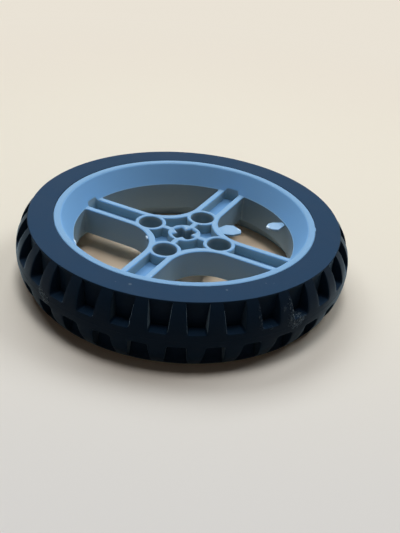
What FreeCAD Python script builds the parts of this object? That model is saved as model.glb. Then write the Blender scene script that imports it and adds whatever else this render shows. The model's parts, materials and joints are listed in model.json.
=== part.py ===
"""Robot wheel: a moulded plastic rim with a spoked hub, and a rubber tyre stretched over it.

Lengths are millimetres. The axle axis is Z, the origin is the middle of the width on
that axis, and the four spokes lie along X and Y. The face at +Z has the deeper dish.
"""

import math
import os

import FreeCAD
import Part

# Rim: width, bore, tyre seat, lips and dishes
wheel_width = 13.2
bore_r = 22.4
barrel_wall = 2.7
lip_height = 1.15
lip_width = 1.35
lip_bevel = 0.3
flange_thickness = 1.6
front_dish_depth = 4.2

# Hub plate: spokes, windows and pockets
plate_thickness = 5.8
spoke_width = 6.2
spoke_root = 0.7
channel_width = 3.5
channel_depth = 2.1
channel_notch = 0.38
channel_notch_height = 0.8
channel_corner_r = 0.6
window_corner_r = 8.1
hub_wall = 1.4

# Pin holes and axle hole
pin_spacing = 8.0
pin_hole_r = 2.45
pin_ring_wall = 0.8
axle_boss_r = 3.35
hub_rib_width = 1.2
axle_span = 4.85
axle_arm_width = 1.85
axle_angle = 61.0
axle_tip_round = 0.3

# Moulding gates: two tabs left in one window, two trimmed stumps in the opposite one
gate_angle = 45.0
gate_drop = 0.3
gate_thickness = 0.5
gate_root_overlap = 0.6
hub_gate_neck_width = 2.5
hub_gate_width = 4.3
hub_gate_flare = 2.1
hub_gate_length = 4.5
hub_gate_end_width = 3.4
hub_gate_break = 0.9
hub_gate_skew = 0.5
rim_gate_neck_width = 1.2
rim_gate_neck_offset = 0.6
rim_gate_width = 3.2
rim_gate_flare = 2.1
rim_gate_shoulder = 3.4
rim_gate_shoulder_width = 2.4
rim_gate_length = 4.3
stump_width = 1.5
stump_proud = 0.25
rim_stump_turn = -1.5

# Tyre: seat on the rim, sidewall, crown and two staggered rows of tread slots
seat_clearance = 0.04
sidewall_height = 4.95
crown_height = 2.5
crown_stretches = 4
slots_per_row = 31
slot_end_width = 3.4
slot_mouth_width = 4.2
slot_depth = 2.6
centre_band_width = 2.62
tread_phase = 0.66

# How far cutters stand clear of what they cut
overshoot = 1.0

axis = FreeCAD.Vector(0, 0, 1)
origin = FreeCAD.Vector(0, 0, 0)
half_width = wheel_width / 2
plate_top = half_width - front_dish_depth
plate_bottom = plate_top - plate_thickness
seat_r = bore_r + barrel_wall
lip_r = seat_r + lip_height
dish_mouth_r = lip_r - lip_width
spoke_reach = bore_r + spoke_root
channel_reach = bore_r + channel_notch
pin_ring_r = pin_hole_r + pin_ring_wall
half_spoke = spoke_width / 2
window_centre = half_spoke + window_corner_r
hub_gate_root_r = window_centre * math.sqrt(2) - window_corner_r
tyre_r = lip_r + sidewall_height + crown_height
slot_floor_r = tyre_r - slot_depth


def ring_from(points):
    """Turns a closed outline of (radius, height) points round the axle axis."""
    corners = [FreeCAD.Vector(r, 0, z) for r, z in points]
    wire = Part.makePolygon(corners + corners[:1])
    return Part.Face(wire).revolve(origin, axis, 360)


def cylinder(radius, low, high, x=0.0, y=0.0):
    """Upright cylinder between two heights."""
    return Part.makeCylinder(radius, high - low, FreeCAD.Vector(x, y, low), axis)


def box(x_low, x_high, y_low, y_high, low, high):
    """Upright box between two corners."""
    corner = FreeCAD.Vector(x_low, y_low, low)
    return Part.makeBox(x_high - x_low, y_high - y_low, high - low, corner)


def turned(shape, degrees):
    """Copy of a shape turned about the axle axis."""
    copy = shape.copy()
    copy.rotate(origin, axis, degrees)
    return copy


def four(shape):
    """The shape and its three quarter turns."""
    return [turned(shape, 90 * k) for k in range(4)]


def prism(points, low, high):
    """Upright prism over a polygon of (x, y) points."""
    corners = [FreeCAD.Vector(x, y, low) for x, y in points]
    wire = Part.makePolygon(corners + corners[:1])
    return Part.Face(wire).extrude(axis * (high - low))


def circles_at(shape, radius, heights, tolerance=1e-4):
    """Full circular edges of one radius at the given heights."""
    found = []
    for edge in shape.Edges:
        curve = edge.Curve
        if not isinstance(curve, Part.Circle):
            continue
        if abs(curve.Radius - radius) > tolerance or curve.Center.sub(
            FreeCAD.Vector(0, 0, curve.Center.z)
        ).Length > tolerance:
            continue
        if any(abs(curve.Center.z - z) < tolerance for z in heights):
            found.append(edge)
    return found


def rim_barrel():
    """Lips, cones, bore and the groove outside, as one turned ring."""
    groove = half_width - flange_thickness
    outside = [(lip_r, half_width), (lip_r, groove), (seat_r, groove)]
    mirrored = [(r, -z) for r, z in reversed(outside)]
    inside = [
        (dish_mouth_r, -half_width),
        (bore_r, plate_bottom),
        (bore_r, plate_top),
        (dish_mouth_r, half_width),
    ]
    ring = ring_from(outside + mirrored + inside)
    lips = circles_at(ring, dish_mouth_r, (half_width, -half_width))
    return ring.makeChamfer(lip_bevel, lips)


def plate_outline():
    """Plan of the hub plate: four spokes joined by round inner window corners."""
    edges = []
    for k in range(4):
        a = FreeCAD.Vector(spoke_reach, -half_spoke, 0)
        b = FreeCAD.Vector(spoke_reach, half_spoke, 0)
        c = FreeCAD.Vector(window_centre, half_spoke, 0)
        e = FreeCAD.Vector(half_spoke, window_centre, 0)
        f = FreeCAD.Vector(half_spoke, spoke_reach, 0)
        middle = window_centre - window_corner_r / math.sqrt(2)
        d = FreeCAD.Vector(middle, middle, 0)
        pieces = [Part.makeLine(a, b), Part.makeLine(b, c)]
        pieces.append(Part.Arc(c, d, e).toShape())
        pieces.append(Part.makeLine(e, f))
        edges += [turned(piece, 90 * k) for piece in pieces]
    return Part.Wire(Part.__sortEdges__(edges))


def spoke_channel(low, high):
    """Round-cornered trough along one spoke, ending at the pin ring."""
    half = channel_width / 2
    trough = box(pin_spacing, channel_reach, -half, half, low, high)
    uprights = []
    for edge in trough.Edges:
        ends = [vertex.Point for vertex in edge.Vertexes]
        upright = abs(ends[0].z - ends[1].z) > channel_corner_r
        if upright and ends[0].x > bore_r:
            uprights.append(edge)
    trough = trough.makeFillet(channel_corner_r, uprights)
    return trough.cut(cylinder(pin_ring_r, low - overshoot, high + overshoot, pin_spacing))


def hub_pocket(low, high):
    """Curved diamond between the axle boss, two pin rings and the hub wall."""
    half_rib = hub_rib_width / 2
    pocket = box(half_rib, pin_spacing, half_rib, pin_spacing, low, high)
    for radius, x, y in (
        (axle_boss_r, 0, 0),
        (pin_ring_r, pin_spacing, 0),
        (pin_ring_r, 0, pin_spacing),
        (window_corner_r + hub_wall, window_centre, window_centre),
    ):
        pocket = pocket.cut(cylinder(radius, low - overshoot, high + overshoot, x, y))
    return max(pocket.Solids, key=lambda solid: solid.Volume)


def axle_hole():
    """Cross-shaped hole, turned a little past the lines midway between the spokes."""
    low = plate_bottom - overshoot
    high = plate_top + overshoot
    half_span = axle_span / 2
    half_arm = axle_arm_width / 2
    cross = None
    for k in range(2):
        arm = box(-half_span, half_span, -half_arm, half_arm, low, high)
        tips = [
            edge
            for edge in arm.Edges
            if abs(edge.Vertexes[0].Z - edge.Vertexes[1].Z) > plate_thickness
        ]
        arm = turned(arm.makeFillet(axle_tip_round, tips), axle_angle + 90 * k)
        cross = arm if cross is None else cross.fuse(arm)
    return cross


def hub_plate():
    """Plate with spokes, pockets on both faces, pin holes and the axle hole."""
    plate = Part.Face(plate_outline()).extrude(axis * plate_thickness)
    plate.translate(axis * plate_bottom)
    cutters = []
    spans = (
        (plate_top - channel_depth, plate_top + overshoot),
        (plate_bottom - overshoot, plate_bottom + channel_depth),
    )
    for low, high in spans:
        cutters += four(hub_pocket(low, high))
    pin = cylinder(pin_hole_r, plate_bottom - overshoot, plate_top + overshoot, pin_spacing)
    cutters += four(pin)
    cutters.append(axle_hole())
    return plate.cut(cutters)


def channels():
    """Troughs of all four spokes on both faces; they notch the dish cones a little."""
    front = spoke_channel(plate_top - channel_depth, plate_top + channel_notch_height)
    back = spoke_channel(plate_bottom - channel_notch_height, plate_bottom + channel_depth)
    return four(front) + four(back)


def gate_tab(points):
    """Flat tab in the gate window, drawn as (distance from the axle, sideways) points."""
    high = plate_top - gate_drop
    return turned(prism(points, high - gate_thickness, high), gate_angle)


def hub_gate():
    """Tab on the hub wall: flares from a neck and ends in a skewed break."""
    root = hub_gate_root_r - gate_root_overlap
    flare = hub_gate_root_r + hub_gate_flare
    tip = hub_gate_root_r + hub_gate_length
    half_neck = hub_gate_neck_width / 2
    half = hub_gate_width / 2
    half_end = hub_gate_end_width / 2
    points = [
        (root, -half_neck),
        (hub_gate_root_r, -half_neck),
        (flare, -half),
        (tip - hub_gate_break + hub_gate_skew, -half_end),
        (tip, -hub_gate_skew),
        (tip - hub_gate_break, half_end),
        (flare, half),
        (hub_gate_root_r, half_neck),
        (root, half_neck),
    ]
    return gate_tab(points)


def rim_gate():
    """Leaf-shaped tab on the bore's edge, with its narrow neck towards one side."""
    root = bore_r + gate_root_overlap
    flare = bore_r - rim_gate_flare
    shoulder = bore_r - rim_gate_shoulder
    neck_low = rim_gate_neck_offset - rim_gate_neck_width / 2
    neck_high = rim_gate_neck_offset + rim_gate_neck_width / 2
    half = rim_gate_width / 2
    half_shoulder = rim_gate_shoulder_width / 2
    points = [
        (root, neck_low),
        (root, neck_high),
        (bore_r, neck_high),
        (flare, half),
        (shoulder, half_shoulder),
        (bore_r - rim_gate_length, 0),
        (shoulder, -half_shoulder),
        (flare, -half),
        (bore_r, neck_low),
    ]
    return gate_tab(points)


def stumps():
    """What is left of the gates that were cut off in the opposite window."""
    high = plate_top - gate_drop
    low = high - gate_thickness
    half = stump_width / 2
    spans = (
        (hub_gate_root_r - gate_root_overlap, hub_gate_root_r + stump_proud, 0),
        (bore_r - stump_proud, bore_r + gate_root_overlap, rim_stump_turn),
    )
    return [
        turned(box(start, end, -half, half, low, high), gate_angle + 180 + aside)
        for start, end, aside in spans
    ]


def rim():
    """The whole moulding as one solid."""
    body = rim_barrel().fuse([hub_plate(), hub_gate(), rim_gate()] + stumps())
    return body.removeSplitter().cut(channels())


def tread_slot():
    """Cutter for one slot of the upper row: level lower end, wider and open at the shoulder."""
    low = centre_band_width / 2
    flare = (slot_mouth_width - slot_end_width) / (half_width - low)
    half_end = slot_end_width / 2
    half_top = (slot_mouth_width + flare * overshoot) / 2
    high = half_width + overshoot
    outline = [(-half_end, low), (half_end, low), (half_top, high), (-half_top, high)]
    corners = [FreeCAD.Vector(slot_floor_r, y, z) for y, z in outline]
    wire = Part.makePolygon(corners + corners[:1])
    return Part.Face(wire).extrude(FreeCAD.Vector(tyre_r + overshoot - slot_floor_r, 0, 0))


def crown_point(height):
    """(radius, height) of the crowned outside of the tyre at one height."""
    radius = (half_width**2 + crown_height**2) / (2 * crown_height)
    reach = tyre_r - radius + math.sqrt(radius**2 - height**2)
    return reach, height


def tyre():
    """Rubber ring with a bead that fills the rim's groove and a crowned, slotted tread.

    The band between the two rows of slots has a faint ridge where the mould halves met.
    On both sides of it the crown falls away in straight stretches.
    """
    gap = seat_clearance
    groove = half_width - flange_thickness - gap
    inside = [(lip_r + gap, half_width), (lip_r + gap, groove), (seat_r + gap, groove)]
    inside += [(r, -z) for r, z in reversed(inside)]
    band = centre_band_width / 2
    step = (half_width - band) / crown_stretches
    rise = [band + step * k for k in range(crown_stretches + 1)]
    heights = [-z for z in reversed(rise)] + [0] + rise
    ring = ring_from([crown_point(z) for z in heights] + inside)
    pitch = 360 / slots_per_row
    upper = tread_slot()
    lower = upper.mirror(origin, axis)
    cutters = []
    for k in range(slots_per_row):
        cutters.append(turned(upper, tread_phase + k * pitch))
        cutters.append(turned(lower, tread_phase + (k + 0.5) * pitch))
    return ring.cut(cutters)


os.makedirs("parts", exist_ok=True)
rim().exportStep("parts/rim.step")
tyre().exportStep("parts/tyre.step")
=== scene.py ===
"""Robot wheel: a moulded spoked rim and its slotted rubber tyre, modelled and dressed.

Sizes in the classes are millimetres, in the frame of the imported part: the axle axis is Z,
the origin is the middle of the width, and the four spokes lie along X and Y.
"""

import json
import logging
import math
from dataclasses import dataclass
from enum import Enum
from functools import partial
from typing import Any, Callable, Sequence

import bmesh
import bpy
from mathutils import Matrix, Vector


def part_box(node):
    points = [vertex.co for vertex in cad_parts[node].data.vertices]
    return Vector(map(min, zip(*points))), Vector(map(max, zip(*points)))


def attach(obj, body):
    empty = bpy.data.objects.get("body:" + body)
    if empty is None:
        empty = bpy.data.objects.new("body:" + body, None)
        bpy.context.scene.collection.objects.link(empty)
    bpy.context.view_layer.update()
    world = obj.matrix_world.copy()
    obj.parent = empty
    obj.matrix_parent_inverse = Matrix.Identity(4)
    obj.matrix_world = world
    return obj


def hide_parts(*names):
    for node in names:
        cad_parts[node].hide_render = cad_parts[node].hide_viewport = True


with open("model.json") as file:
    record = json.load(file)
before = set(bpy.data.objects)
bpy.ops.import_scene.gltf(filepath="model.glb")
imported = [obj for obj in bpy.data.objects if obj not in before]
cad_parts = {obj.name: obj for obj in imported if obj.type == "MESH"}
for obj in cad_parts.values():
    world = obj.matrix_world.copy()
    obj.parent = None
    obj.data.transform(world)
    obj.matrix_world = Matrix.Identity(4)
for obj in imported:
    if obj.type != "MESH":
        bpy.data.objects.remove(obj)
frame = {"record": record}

MM = 0.001
BODY = "root"
PHOTO_HEIGHT_PX = 533
SPOKES = 4
SLACK = 0.01  # millimetres within which a vertex lies at a height
WELD_GAP = 1e-6  # metres within which two vertices are one

Point = tuple[float, float]
Corner = tuple[float, float, float]
Colour = tuple[float, float, float]
Row = tuple[float, ...]
Piece = bpy.types.Object

BACKDROP: Colour = (0.82, 0.765, 0.67)
COOL_LIGHT: Colour = (0.74, 0.88, 1.0)

log = logging.getLogger("robot_wheel")


class Fuse(Enum):
    """How a second mesh is worked into a first one."""

    JOIN = "UNION"
    CARVE = "DIFFERENCE"


class Slot(Enum):
    """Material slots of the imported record."""

    RIM = "rim_plastic"
    TYRE = "tyre_rubber"


class Element(Enum):
    """What is selected in edit mode, and where a mesh lists it."""

    VERT = "verts"
    EDGE = "edges"
    FACE = "faces"


class Side(Enum):
    """The two faces of the hub plate."""

    FRONT = "front"
    BACK = "back"


# Bench: the few hand moves that every piece is made with


def clear_bench() -> None:
    """Leaves edit mode and deselects everything."""
    if bpy.context.object and bpy.context.object.mode != "OBJECT":
        bpy.ops.object.mode_set(mode="OBJECT")
    bpy.ops.object.select_all(action="DESELECT")


def pick_up(piece: Piece) -> None:
    """Makes one piece the only selected and the active one.

    Args:
        piece: the piece to select.
    """
    clear_bench()
    piece.select_set(True)
    bpy.context.view_layer.objects.active = piece


def open_mesh(piece: Piece, kind: Element) -> None:
    """Opens a piece in edit mode with nothing selected.

    Args:
        piece: the piece to work on.
        kind: what is selected in it.
    """
    pick_up(piece)
    bpy.ops.object.mode_set(mode="EDIT")
    bpy.ops.mesh.select_mode(type=kind.name)
    bpy.ops.mesh.select_all(action="DESELECT")


def open_whole(piece: Piece) -> None:
    """Opens a piece in edit mode with all of it selected."""
    open_mesh(piece, Element.VERT)
    bpy.ops.mesh.select_all(action="SELECT")


def close_mesh() -> None:
    """Goes back to object mode."""
    bpy.ops.object.mode_set(mode="OBJECT")


def choose(piece: Piece, kind: Element, test: Callable[[Any], bool]) -> None:
    """Selects, in edit mode, what passes a test of its place.

    Args:
        piece: the piece that is open in edit mode.
        kind: what is selected.
        test: takes a mesh element and says whether it is wanted.
    """
    bpy.ops.mesh.select_mode(type=kind.name)
    bpy.ops.mesh.select_all(action="DESELECT")
    mesh = bmesh.from_edit_mesh(piece.data)
    for element in getattr(mesh, kind.value):
        if test(element):
            element.select_set(True)
    mesh.select_flush_mode()
    bmesh.update_edit_mesh(piece.data)


def tidy_mesh() -> None:
    """Merges doubles of the open mesh and turns its faces outwards."""
    bpy.ops.mesh.select_all(action="SELECT")
    bpy.ops.mesh.remove_doubles(threshold=WELD_GAP)
    bpy.ops.mesh.normals_make_consistent(inside=False)


def draw_path(name: str, points: Sequence[Corner]) -> Piece:
    """Draws a chain of edges from vertex to vertex and leaves it open in edit mode.

    Args:
        name: name of the new piece.
        points: (x, y, z) of each vertex, in millimetres.

    Returns:
        The new piece, with its chain selected.
    """
    clear_bench()
    bpy.ops.mesh.primitive_plane_add(size=MM, enter_editmode=True, location=(0, 0, 0))
    piece = bpy.context.object
    piece.name = name
    bpy.ops.mesh.select_mode(type="VERT")
    bpy.ops.mesh.merge(type="CENTER")
    last = Vector(points[0])
    bpy.ops.transform.translate(value=last * MM)
    for point in points[1:]:
        step = Vector(point) - last
        bpy.ops.mesh.extrude_region_move(TRANSFORM_OT_translate={"value": step * MM})
        last = Vector(point)
    bpy.ops.mesh.select_all(action="SELECT")
    return piece


def prism(name: str, outline: Sequence[Point], low: float, high: float) -> Piece:
    """Upright block over a closed outline.

    Args:
        name: name of the new piece.
        outline: (x, y) points, in millimetres.
        low: height of the bottom face.
        high: height of the top face.

    Returns:
        The new piece.
    """
    piece = draw_path(name, [(x, y, low) for x, y in outline])
    bpy.ops.mesh.edge_face_add()
    rise = (0, 0, (high - low) * MM)
    bpy.ops.mesh.extrude_region_move(TRANSFORM_OT_translate={"value": rise})
    tidy_mesh()
    close_mesh()
    return piece


def rounded(corners: Sequence[Corner], steps: int = 4) -> list[Point]:
    """Closed outline whose corners are replaced by arcs.

    Args:
        corners: (x, y, radius) of each corner; a radius of 0 keeps it sharp.
        steps: straight stretches in each arc.

    Returns:
        The (x, y) points of the outline.
    """
    points: list[Point] = []
    for index, (x, y, radius) in enumerate(corners):
        here = Vector((x, y))
        if radius == 0:
            points.append((x, y))
            continue
        before = (Vector(corners[index - 1][:2]) - here).normalized()
        after = (Vector(corners[(index + 1) % len(corners)][:2]) - here).normalized()
        half = before.angle(after) / 2
        centre = here + (before + after).normalized() * radius / math.sin(half)
        start = here + before * radius / math.tan(half) - centre
        turn_by = start.angle_signed(here + after * radius / math.tan(half) - centre)
        for step in range(steps + 1):
            spoke = Matrix.Rotation(-turn_by * step / steps, 2) @ start
            points.append(tuple(centre + spoke))
    return points


def arc(centre: Point, radius: float, start: float, end: float, steps: int) -> list[Point]:
    """Points along an arc from one angle to another, in degrees, in even steps."""
    angles = [math.radians(start + (end - start) * k / steps) for k in range(steps + 1)]
    return [(centre[0] + radius * math.cos(a), centre[1] + radius * math.sin(a)) for a in angles]


def at_each_spoke(corners: Sequence[Row]) -> list[Row]:
    """Repeats a stretch of an outline round the axle, once for each spoke.

    Args:
        corners: (x, y) of each corner, and any further value that it has.

    Returns:
        The corners of the whole outline.
    """
    made = []
    for k in range(SPOKES):
        turn_by = Matrix.Rotation(-math.tau * k / SPOKES, 2).inverted()
        made += [(*(turn_by @ Vector(corner[:2])), *corner[2:]) for corner in corners]
    return made


def turned_ring(name: str, profile: Sequence[Point], steps: int) -> Piece:
    """Ring with one closed profile, made by extruding a circle from point to point.

    Args:
        name: name of the new piece.
        profile: (radius, height) points, in millimetres.
        steps: stretches round the ring.

    Returns:
        The new piece.
    """
    clear_bench()
    radius, height = profile[0]
    bpy.ops.mesh.primitive_circle_add(
        vertices=steps, radius=radius * MM, enter_editmode=True, location=(0, 0, 0)
    )
    piece = bpy.context.object
    piece.name = name
    bpy.ops.transform.translate(value=(0, 0, height * MM))
    for next_radius, next_height in list(profile[1:]) + [profile[0]]:
        rise = (0, 0, (next_height - height) * MM)
        bpy.ops.mesh.extrude_region_move(TRANSFORM_OT_translate={"value": rise})
        grow = next_radius / radius
        bpy.ops.transform.resize(value=(grow, grow, 1), center_override=(0, 0, 0))
        radius, height = next_radius, next_height
    tidy_mesh()
    close_mesh()
    return piece


def repeat_round(piece: Piece, count: int) -> None:
    """Copies a whole mesh evenly round the axle.

    Args:
        piece: the piece to repeat in its own mesh.
        count: how many there are in the end.
    """
    open_whole(piece)
    bpy.ops.mesh.spin(
        steps=count - 1,
        dupli=True,
        angle=math.tau * (count - 1) / count,
        center=(0, 0, 0),
        axis=(0, 0, 1),
    )
    close_mesh()


def turn(piece: Piece, degrees: float) -> None:
    """Turns a whole mesh about the axle.

    Args:
        piece: the piece to turn.
        degrees: how far, counter-clockwise from the front face.
    """
    open_whole(piece)
    bpy.ops.transform.rotate(
        value=-math.radians(degrees), orient_axis="Z", center_override=(0, 0, 0)
    )
    close_mesh()


def work_in(piece: Piece, tool: Piece, how: Fuse) -> None:
    """Joins a second mesh to a piece or carves it out, and puts the second one away.

    Args:
        piece: the piece that stays.
        tool: the mesh that is used up.
        how: joined or carved.
    """
    pick_up(piece)
    modifier = piece.modifiers.new(how.name.lower(), "BOOLEAN")
    modifier.operation = how.value
    modifier.object = tool
    modifier.solver = "EXACT"
    bpy.ops.object.modifier_apply(modifier=modifier.name)
    bpy.data.objects.remove(tool)


def soften(
    piece: Piece, test: Callable[[Any], bool], width: float, segments: int
) -> None:
    """Rounds the edges of a piece that pass a test.

    Args:
        piece: the piece to work on.
        test: takes an edge and says whether it is rounded.
        width: width of the rounding, in millimetres.
        segments: faces across it.
    """
    open_mesh(piece, Element.EDGE)
    choose(piece, Element.EDGE, test)
    bpy.ops.mesh.bevel(offset=width * MM, segments=segments, affect="EDGES", clamp_overlap=False)
    close_mesh()


def is_sharp(edge: Any, degrees: float = 40) -> bool:
    """Whether an edge stands out between two faces by more than an angle."""
    paired = len(edge.link_faces) == 2
    return paired and edge.calc_face_angle_signed() > math.radians(degrees)


def lies_at(vertex: Any, height: float) -> bool:
    """Whether a vertex lies at a height, in millimetres."""
    return abs(vertex.co.z / MM - height) < SLACK


def at_height(element: Any, height: float) -> bool:
    """Whether every vertex of an edge or face lies at one height, in millimetres."""
    return all(lies_at(vertex, height) for vertex in element.verts)


def split(piece: Piece, degrees: Sequence[float]) -> None:
    """Cuts the faces of a piece along upright planes through the axle.

    Args:
        piece: the piece to work on.
        degrees: direction of each plane in plan.
    """
    open_mesh(piece, Element.EDGE)
    for angle in degrees:
        bpy.ops.mesh.select_all(action="SELECT")
        side = (-math.sin(math.radians(angle)), math.cos(math.radians(angle)), 0)
        bpy.ops.mesh.bisect(plane_co=(0, 0, 0), plane_no=side)
    close_mesh()


def shade(piece: Piece, degrees: float) -> None:
    """Shades a piece smooth, with its large faces kept flat.

    Args:
        piece: the piece to shade.
        degrees: edges sharper than this stay sharp.
    """
    pick_up(piece)
    bpy.ops.object.shade_smooth_by_angle(angle=math.radians(degrees))
    modifier = piece.modifiers.new("flat_large_faces", "WEIGHTED_NORMAL")
    modifier.keep_sharp = True
    bpy.ops.object.modifier_apply(modifier=modifier.name)


# Rim


@dataclass
class Rim:
    """The moulded rim: barrel with two lips, spoked hub plate, gate tabs and trimmed gates."""

    half_width: float
    lip_r: float
    pin_hole_r: float
    pin_spacing: float
    lip_width: float = 1.35
    lip_round: float = 0.65
    edge_soft: float = 0.22
    cone_loops: int = 4
    bore_r: float = 22.4
    bore_round: float = 0.04
    bore_ledge: float = 0.09
    seat_r: float = 25.1
    flange_thickness: float = 1.6
    front_dish_depth: float = 4.2
    plate_thickness: float = 5.8
    spoke_width: float = 6.2
    spoke_root: float = 0.7
    spoke_fillet: float = 0.5
    channel_width: float = 3.5
    channel_depth: float = 2.1
    channel_notch: float = 0.38
    channel_notch_height: float = 0.8
    channel_corner_r: float = 0.6
    window_corner_r: float = 8.1
    hub_wall: float = 1.4
    pin_ring_wall: float = 0.8
    axle_boss_r: float = 3.35
    hub_rib_width: float = 1.2
    axle_span: float = 4.85
    axle_arm_width: float = 1.85
    axle_turn: float = 61.0
    axle_tip_round: float = 0.3
    axle_mouth_round: float = 0.55
    axle_mark_r: float = 0.6
    axle_mark_share: float = 0.3
    edge_round: float = 0.28
    split_angle: float = 3.0
    gate_drop: float = 0.3
    flash_angle: float = 21.6
    flash_length: float = 2.6
    flash_height: float = 0.38
    flash_thickness: float = 0.3
    flash_drop: float = 0.02
    flash_lean: float = 0.25
    overshoot: float = 1.0
    ring_steps: int = 192
    hole_steps: int = 48
    keep_steps: int = 72
    window_steps: int = 18
    fillet_steps: int = 5
    round_segments: int = 3
    shade_angle: float = 32.0

    @classmethod
    def from_frame(cls) -> "Rim":
        """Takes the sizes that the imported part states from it.

        Returns:
            The rim, with its other sizes as they are written in the class.
        """
        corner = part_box("rim")[1] / MM
        mounts = {mount["name"]: mount for mount in frame["record"]["mounts"]}
        pin = mounts["pin_hole_right"]
        return cls(
            half_width=corner.z,
            lip_r=corner.x,
            pin_hole_r=pin["dims"]["r_mm"],
            pin_spacing=pin["pos_m"][0] / MM,
        )

    @property
    def plate_top(self) -> float:
        """Height of the hub plate's front face."""
        return self.half_width - self.front_dish_depth

    @property
    def plate_bottom(self) -> float:
        """Height of the hub plate's back face."""
        return self.plate_top - self.plate_thickness

    @property
    def window_centre(self) -> float:
        """Distance of a window corner's centre from both spoke axes."""
        return self.spoke_width / 2 + self.window_corner_r

    @property
    def pin_ring_r(self) -> float:
        """Outside radius of the ring round a pin hole."""
        return self.pin_hole_r + self.pin_ring_wall

    def barrel(self) -> Piece:
        """Turned ring with lips, dish cones, bore and the groove that the tyre sits in.

        Returns:
            The ring, with notches where the spoke channels run into the cones.
        """
        groove = self.half_width - self.flange_thickness
        mouth = self.lip_r - self.lip_width
        soft, fine = self.lip_round, self.bore_round
        outside = [
            (self.lip_r, self.half_width, self.edge_soft),
            (self.lip_r, groove, 0),
            (self.seat_r, groove, 0),
        ]
        mirrored = [(r, -z, k) for r, z, k in reversed(outside)]
        foot = self.bore_r + self.bore_ledge
        inside = [(mouth, -self.half_width, soft)]
        inside += self.cone((mouth, -self.half_width), (foot, self.plate_bottom))
        inside += [(foot, self.plate_bottom, 0), (self.bore_r, self.plate_bottom, fine)]
        inside += [(self.bore_r, self.plate_top, fine), (foot, self.plate_top, 0)]
        inside += self.cone((foot, self.plate_top), (mouth, self.half_width))
        inside += [(mouth, self.half_width, soft)]
        ring = turned_ring("rim_barrel", rounded(outside + mirrored + inside), self.ring_steps)
        start, end = self.bore_r - self.overshoot, self.bore_r + self.channel_notch
        for side in Side:
            work_in(ring, self.channels(side, start, end), Fuse.CARVE)
        return ring

    def cone(self, start: Point, end: Point) -> list[Corner]:
        """Even loops along a dish cone, so that its faces stay short.

        Args:
            start: (radius, height) of one edge of the cone.
            end: (radius, height) of the other edge.

        Returns:
            The loops as sharp corners of the barrel's section.
        """
        shares = [k / (self.cone_loops + 1) for k in range(1, self.cone_loops + 1)]
        points = [Vector(start).lerp(Vector(end), share) for share in shares]
        return [(point.x, point.y, 0) for point in points]

    def plate_outline(self) -> list[Point]:
        """Plan of the plate: four spokes joined by round window corners.

        Returns:
            The (x, y) points.
        """
        half = self.spoke_width / 2
        reach = self.bore_r + self.spoke_root
        centre = (self.window_centre, self.window_centre)
        soft = self.spoke_fillet
        foot = math.sqrt(self.bore_r**2 - half**2) - soft
        fillet = arc((foot, half + soft), soft, 0, -90, self.fillet_steps)
        quarter = [(x, -y) for x, y in reversed(fillet)]
        quarter += [(reach, -half - soft), (reach, half + soft)]
        quarter += fillet + arc(centre, self.window_corner_r, 270, 180, self.window_steps)
        return at_each_spoke(quarter)

    def recess(self, side: Side, proud: float) -> Point:
        """Lower and upper end of a cutter for recesses.

        Args:
            side: the face that the recesses are in.
            proud: how far the cutter stands out of that face.

        Returns:
            The two heights.
        """
        if side is Side.FRONT:
            return self.plate_top - self.channel_depth, self.plate_top + proud
        return self.plate_bottom - proud, self.plate_bottom + self.channel_depth

    def post(self, centre: Point, radius: float, steps: int, span: Point) -> Piece:
        """Round post that stands past a span of heights at both ends.

        Args:
            centre: (x, y) of its axis.
            radius: its radius.
            steps: stretches round it.
            span: lower and upper end of the span.

        Returns:
            The post.
        """
        low, high = span
        outline = arc(centre, radius, 0, 360, steps)[:-1]
        return prism("post", outline, low - self.overshoot, high + self.overshoot)

    def channels(self, side: Side, start: float, end: float) -> Piece:
        """Cutter for the four spoke troughs of one face.

        Args:
            side: the face that they are in.
            start: how far from the axle the troughs begin.
            end: how far from the axle they end.

        Returns:
            The four cutters as one mesh.
        """
        half = self.channel_width / 2
        corner = self.channel_corner_r
        outline = rounded(
            [(start, -half, 0), (end, -half, corner), (end, half, corner), (start, half, 0)]
        )
        span = self.recess(side, self.channel_notch_height)
        cutter = prism("channel_cutter", outline, *span)
        ring = self.post((self.pin_spacing, 0), self.pin_ring_r, self.hole_steps, span)
        work_in(cutter, ring, Fuse.CARVE)
        repeat_round(cutter, SPOKES)
        return cutter

    def pockets(self, side: Side) -> Piece:
        """Cutter for the four curved diamonds between axle boss, pin rings and hub wall.

        Args:
            side: the face that they are in.

        Returns:
            The four cutters as one mesh.
        """
        span = self.recess(side, self.overshoot)
        near, far = self.hub_rib_width / 2, self.pin_spacing - self.hub_rib_width
        square = [(near, near), (far, near), (far, far), (near, far)]
        block = prism("pocket_cutter", square, *span)
        centre = self.window_centre
        rounds = (
            (self.axle_boss_r, 0, 0),
            (self.pin_ring_r, self.pin_spacing, 0),
            (self.pin_ring_r, 0, self.pin_spacing),
            (self.window_corner_r + self.hub_wall, centre, centre),
        )
        for radius, x, y in rounds:
            work_in(block, self.post((x, y), radius, self.keep_steps, span), Fuse.CARVE)
        repeat_round(block, SPOKES)
        return block

    def pin_holes(self) -> Piece:
        """Cutter for the four pin holes.

        Returns:
            The four cutters as one mesh.
        """
        span = self.plate_bottom, self.plate_top
        cutter = self.post((self.pin_spacing, 0), self.pin_hole_r, self.hole_steps, span)
        repeat_round(cutter, SPOKES)
        return cutter

    def axle_hole(self) -> Piece:
        """Cutter for the cross-shaped hole, turned past the middle between two spokes.

        Returns:
            The cutter.
        """
        span, arm, tip = self.axle_span / 2, self.axle_arm_width / 2, self.axle_tip_round
        corners = at_each_spoke([(span, -arm, tip), (span, arm, tip), (arm, arm, 0)])
        low, high = self.plate_bottom - self.overshoot, self.plate_top + self.overshoot
        cutter = prism("axle_cutter", rounded(corners), low, high)
        turn(cutter, self.axle_turn)
        return cutter

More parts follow.
